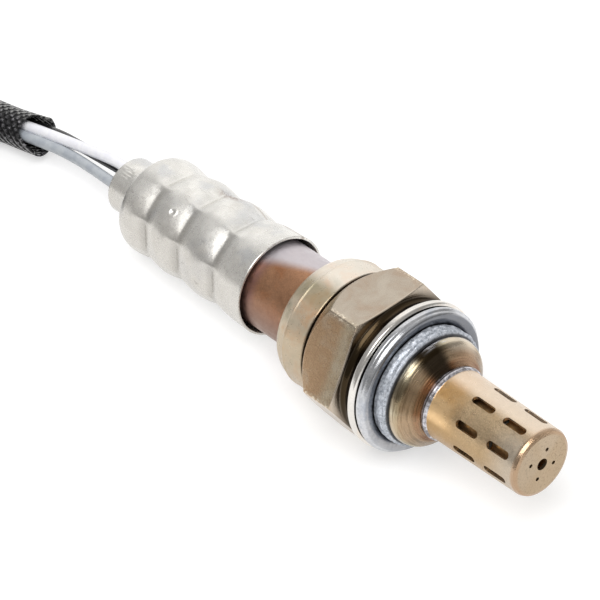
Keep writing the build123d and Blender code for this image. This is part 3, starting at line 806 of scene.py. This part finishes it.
def braid_material():
    """Woven black yarn, with painted glints on its raised strands and a painted sheen along its top."""
    g = Graph("black_braid")
    layout = g.nodes.new("ShaderNodeUVMap")
    layout.uv_map = "weave"
    around, along, _ = g.split(layout.outputs[0])
    loose = g.noise(g.position(), 0.8, 2.0, 0.5)
    turns = g.math("MULTIPLY_ADD", around, 2 * math.pi * STRANDS, g.times(loose, 3.0))
    steps = g.math("MULTIPLY_ADD", along, 2 * math.pi / WEAVE_SCALE / STRAND_PITCH, g.times(loose, 2.0))
    weave = g.times(g.math("SINE", turns), g.math("SINE", steps))
    place = g.position()
    fibre = g.noise(place, 5.0, 3.0, 0.8)
    patchy = g.noise(place, 0.9, 3.0, 0.6)
    raised = g.between(weave, 0.0, 0.8)
    tone = g.mix(raised, rgb(4, 4, 6), rgb(26, 25, 28))
    # Painted glints on the raised strands.
    glint = g.times(g.between(fibre, 0.47, 0.55), g.between(patchy, 0.4, 0.6, 0.12, 1.0))
    tone = g.over(tone, rgb(160, 158, 162), glint, raised)
    # Painted sheen along the top.
    painted_sheen = g.times(g.beside(g.times(around, 2 * math.pi), 62, 8, 48), raised)
    tone = g.over(tone, rgb(160, 160, 156), painted_sheen, g.between(fibre, 0.36, 0.5, 0.3, 0.9))
    g.set(Base_Color=tone, Sheen_Weight=0.65, Sheen_Roughness=0.3, Specular_IOR_Level=0.3)
    g.set(Roughness=g.between(fibre, 0.3, 0.7, 0.62, 0.42))
    g.set(Normal=g.bump(weave, 0.9, 0.14, g.bump(fibre, 0.5, 0.06)))
    return g.material


lead_track = along_spline(LEAD_POINTS)
lead = place_piece("braided_lead", braid_mesh(lead_track), braid_material(),
                   "braided_sleeve")


# Finishes of the solids that stay as they are

def shield_look(g, tone, x, radius, angle):
    """Straw and orange heat tints, deeper toward the base; painted shade low on the near side and on the
    tip's edge; painted highlights along the top and on the near side toward the base; greyer on the near
    side toward the tip; a speckled tip face; and a bare flange with painted shade in its groove.
    """
    base = g.between(x, 8.0, 14.0, 0.8, 0.0)
    cloud = g.noise(g.position(), 0.45, 3.0)
    tone = g.over(tone, rgb(204, 158, 98), base, g.between(cloud, 0.35, 0.6, 0.6, 1.0))
    # Painted shade low on the near side.
    tone = g.over(tone, rgb(164, 135, 94), g.beside(angle, 200, 20, 60), 0.6)
    # Painted highlight along the top.
    tone = g.over(tone, rgb(236, 222, 206), g.beside(angle, 68, 12, 38), 0.65)
    # Painted highlight on the upper near side toward the base.
    bright_patch = g.times(g.between(x, 12.0, 8.5), g.beside(angle, 147, 8, 26))
    tone = g.over(tone, rgb(254, 216, 164), bright_patch, 0.8)
    face = g.between(x, 23.35, 23.6)
    specks = g.noise(g.position(), 2.6, 4.0, 0.8)
    dull = g.mix(g.between(specks, 0.5, 0.66, 0.0, 0.7), rgb(172, 152, 126), rgb(128, 112, 88))
    grey = g.times(g.between(x, 16.5, 22.5), g.beside(angle, 160, 20, 70))
    tone = g.over(tone, rgb(196, 188, 176), grey, 0.6)
    tone = g.over(tone, dull, face, 0.85)
    # The tip's edge painted darker as shade.
    edge = g.times(g.between(x, 22.8, 23.3), g.between(radius, 4.3, 4.9))
    tone = g.over(tone, rgb(176, 144, 114), edge, 0.7)
    worn = g.noise(g.position(), 0.9, 4.0, 0.7)
    silver = g.mix(g.between(worn, 0.4, 0.62), rgb(128, 124, 126), rgb(220, 218, 224))
    # Painted shade in the flange's groove.
    groove = g.between(g.apart(x, 6.08), 0.06, 0.16, 0.8, 0.0)
    silver = g.over(silver, rgb(54, 48, 46), groove, g.between(worn, 0.3, 0.5))
    return g.over(tone, silver, g.between(x, 6.62, 6.72, 1.0, 0.0))


def shield_gloss(g, x):
    """The tip's face is worn smoother than the shield's side."""
    return g.between(x, 22.7, 23.2, 1.0, 0.55)


def cover_look(g, tone, x, radius, angle):
    """Brown heat tint, violet near the sleeve, with painted shade low on its near side, a pale lavender
    painted reflection on its upper far side, and paler toward its front end.
    """
    cloud = g.noise(g.position(), 0.3, 3.0)
    end = g.between(x, -28.2, -30.4)
    tone = g.over(tone, rgb(140, 104, 110), end, g.between(cloud, 0.3, 0.7, 0.3, 0.7))
    # Painted shade low on the near side.
    tone = g.over(tone, rgb(132, 108, 98), g.beside(angle, 210, 20, 70), 0.75)
    # Painted reflection: pale lavender along the upper far side.
    slanted = g.math("ADD", angle, g.times(g.math("ADD", x, 24.8), 0.06))
    tone = g.over(tone, rgb(206, 203, 209), g.beside(slanted, 42, 38, 58), 0.85)
    return g.over(tone, rgb(196, 180, 186), g.between(x, -22.6, -21.4), 0.4)


def rubber(name, colour, roughness):
    """Matt rubber with dust on it."""
    g = Graph(name)
    place = g.position()
    dust = g.noise(place, 1.2, 5.0, 0.7)
    g.set(Base_Color=g.mix(g.between(dust, 0.45, 0.7, 0.0, 0.4), colour, shade(colour, 2.2)))
    g.set(Roughness=g.between(dust, 0.3, 0.7, roughness * 0.85, min(roughness * 1.2, 1.0)))
    g.set(Normal=g.bump(g.noise(place, 6.0, 3.0), 0.25, 0.04))
    return g.material


def moulded(name, colour, roughness):
    """Moulded plastic with a fine spark-eroded grain and rubbed patches."""
    g = Graph(name)
    place = g.position()
    grain = g.cells(place, 4.5)
    rubbed = g.noise(place, 0.35, 5.0, 0.65)
    g.set(Base_Color=g.mix(g.between(rubbed, 0.5, 0.72, 0.0, 0.35), colour, shade(colour, 1.9)))
    g.set(Roughness=g.between(rubbed, 0.35, 0.7, roughness, roughness * 0.7))
    g.set(Normal=g.bump(grain, 0.3, 0.03))
    return g.material


def ceramic(name, colour):
    """Fired or pressed powder, finely speckled."""
    g = Graph(name)
    place = g.position()
    specks = g.noise(place, 3.5, 4.0, 0.7)
    g.set(Base_Color=g.mix(g.between(specks, 0.55, 0.75, 0.0, 0.4), colour, shade(colour, 0.75)))
    g.set(Roughness=g.between(specks, 0.3, 0.7, 0.5, 0.7))
    g.set(Normal=g.bump(specks, 0.15, 0.03))
    return g.material


shield_steel = steel(
    "shield_steel", rgb(214, 187, 150), rgb(202, 164, 122), roughness=0.32, grain=0.8, mottle=0.5,
    speckle=0.6, stained=0.5, marks_and_painted_light=shield_look, gloss=shield_gloss, metallic=0.9)
inner_shield_steel = steel(
    "inner_shield_steel", rgb(214, 178, 128), rgb(160, 118, 76), roughness=0.4, grain=0.3, mottle=0.6,
    speckle=0.3)
brown_steel = steel(
    "brown_steel", rgb(182, 136, 104), rgb(174, 112, 70), roughness=0.4, grain=0.45, mottle=0.25,
    speckle=0.45, stained=0.5, marks_and_painted_light=cover_look, metallic=0.9)
plain_steel = steel("plain_steel", rgb(200, 198, 194), rgb(170, 160, 148), roughness=0.34)
brass = steel("terminal_brass", rgb(214, 186, 122), rgb(180, 140, 84), roughness=0.3)
white_ceramic = ceramic("white_ceramic", rgb(226, 222, 212))
FINISHES = {
    "outer_shield": shield_steel, "inner_shield": inner_shield_steel, "inner_cover": brown_steel,
    "talc_ring": ceramic("pressed_talc", rgb(206, 200, 186)),
    "vent_filter": ceramic("filter_ptfe", rgb(238, 238, 236)),
    "rubber_grommet": rubber("grommet_rubber", rgb(52, 52, 54), 0.65),
    "lead_tie": moulded("tie_nylon", rgb(34, 34, 36), 0.5),
    "connector_housing": moulded("black_nylon", rgb(30, 30, 32), 0.42),
    "connector_lock": moulded("grey_nylon", rgb(118, 120, 122), 0.42),
    "connector_boot": rubber("boot_rubber", rgb(36, 36, 38), 0.55),
}
for name in ("shield_spacer", "seat_washer", "packing_ring", "inner_contact", "outer_contact",
             "insulator_spring"):
    FINISHES[name] = plain_steel
for name in ("zirconia_thimble", "ceramic_support", "terminal_insulator", "heater_rod"):
    FINISHES[name] = white_ceramic
for number in range(1, 5):
    FINISHES[f"crimp_ferrule_{number}"] = brass
    FINISHES[f"connector_pin_{number}"] = brass
for name in ("heater_terminal_1", "heater_terminal_2", "ground_terminal", "signal_terminal"):
    FINISHES[name] = brass
for name, finish in FINISHES.items():
    materials = NODES[name].data.materials
    materials.clear()
    materials.append(finish)
for name, width in (("connector_housing", 0.35), ("connector_lock", 0.2), ("lead_tie", 0.15),
                    ("connector_boot", 0.5)):
    bevel = NODES[name].modifiers.new("edges", "BEVEL")
    bevel.width = width * MM
    bevel.segments = 3
    bevel.limit_method = "ANGLE"
    bevel.angle_limit = math.radians(40)
    bevel.harden_normals = True


# Stage

def floor_material():
    """White and matt, and lit a little from within wherever it is seen or mirrored."""
    g = Graph("white_surface")
    light = g.nodes.new("ShaderNodeLightPath")
    seen = g.math("MAXIMUM", light.outputs["Is Camera Ray"],
                  g.math("MAXIMUM", light.outputs["Is Glossy Ray"], light.outputs["Is Transmission Ray"]))
    g.set(Base_Color=(0.62, 0.62, 0.62, 1), Roughness=0.9, Specular_IOR_Level=0.0)
    g.set(Emission_Color=(1, 1, 1, 1), Emission_Strength=g.times(seen, 0.52))
    return g.material


FLOOR_HALF = 3.0          # half the surface's width, in metres
floor_mesh = bpy.data.meshes.new("surface")
floor_mesh.from_pydata(
    [(x * FLOOR_HALF, y * FLOOR_HALF, SURFACE_Z * MM) for x, y in ((-1, -1), (1, -1), (1, 1), (-1, 1))],
    [], [(0, 1, 2, 3)])
floor = bpy.data.objects.new("surface", floor_mesh)
bpy.context.scene.collection.objects.link(floor)
floor_mesh.materials.append(floor_material())


# Studio: even light all round, more from overhead, and most from the side across from the camera

world = bpy.data.worlds.new("studio")
bpy.context.scene.world = world
world.use_nodes = True
nodes, links = world.node_tree.nodes, world.node_tree.links
directions = nodes.new("ShaderNodeTexCoord")


def toward(direction, low, high, level):
    """Light that comes from round one direction of the room."""
    facing = nodes.new("ShaderNodeVectorMath")
    facing.operation = "DOT_PRODUCT"
    facing.inputs[1].default_value = Vector(direction).normalized()
    links.new(directions.outputs["Generated"], facing.inputs[0])
    fall = nodes.new("ShaderNodeMapRange")
    fall.interpolation_type = "SMOOTHSTEP"
    for socket, value in zip(fall.inputs[1:], (low, high, 0.0, level)):
        socket.default_value = value
    links.new(facing.outputs["Value"], fall.inputs[0])
    return fall.outputs[0]


def total(a, b):
    """The sum of two lights."""
    add = nodes.new("ShaderNodeMath")
    for socket, value in zip(add.inputs, (a, b)):
        if isinstance(value, float):
            socket.default_value = value
        else:
            links.new(value, socket)
    return add.outputs[0]


backdrop = toward((-0.57, 0.71, 0.41), 0.68, 0.93, 0.78)
ceiling = toward((0.0, 0.0, 1.0), 0.35, 0.95, 0.22)
room = total(total(backdrop, ceiling), 0.36)
links.new(room, nodes["Background"].inputs[1])
nodes["Background"].inputs[0].default_value = (1.0, 0.992, 0.98, 1)


def softbox(name, place, aim, size, power):
    """A flat lamp of that width and depth in metres, turned toward a point."""
    lamp = bpy.data.lights.new(name, "AREA")
    lamp.shape = "RECTANGLE"
    lamp.size, lamp.size_y = size
    lamp.energy = power
    holder = bpy.data.objects.new(name, lamp)
    holder.location = place
    holder.rotation_euler = (Vector(aim) - Vector(place)).to_track_quat("-Z", "Y").to_euler()
    bpy.context.scene.collection.objects.link(holder)


softbox("overhead", (0.1, -0.24, 0.56), (-0.02, 0, 0), (0.5, 0.4), 2.7)

bpy.context.scene.view_settings.view_transform = "Standard"
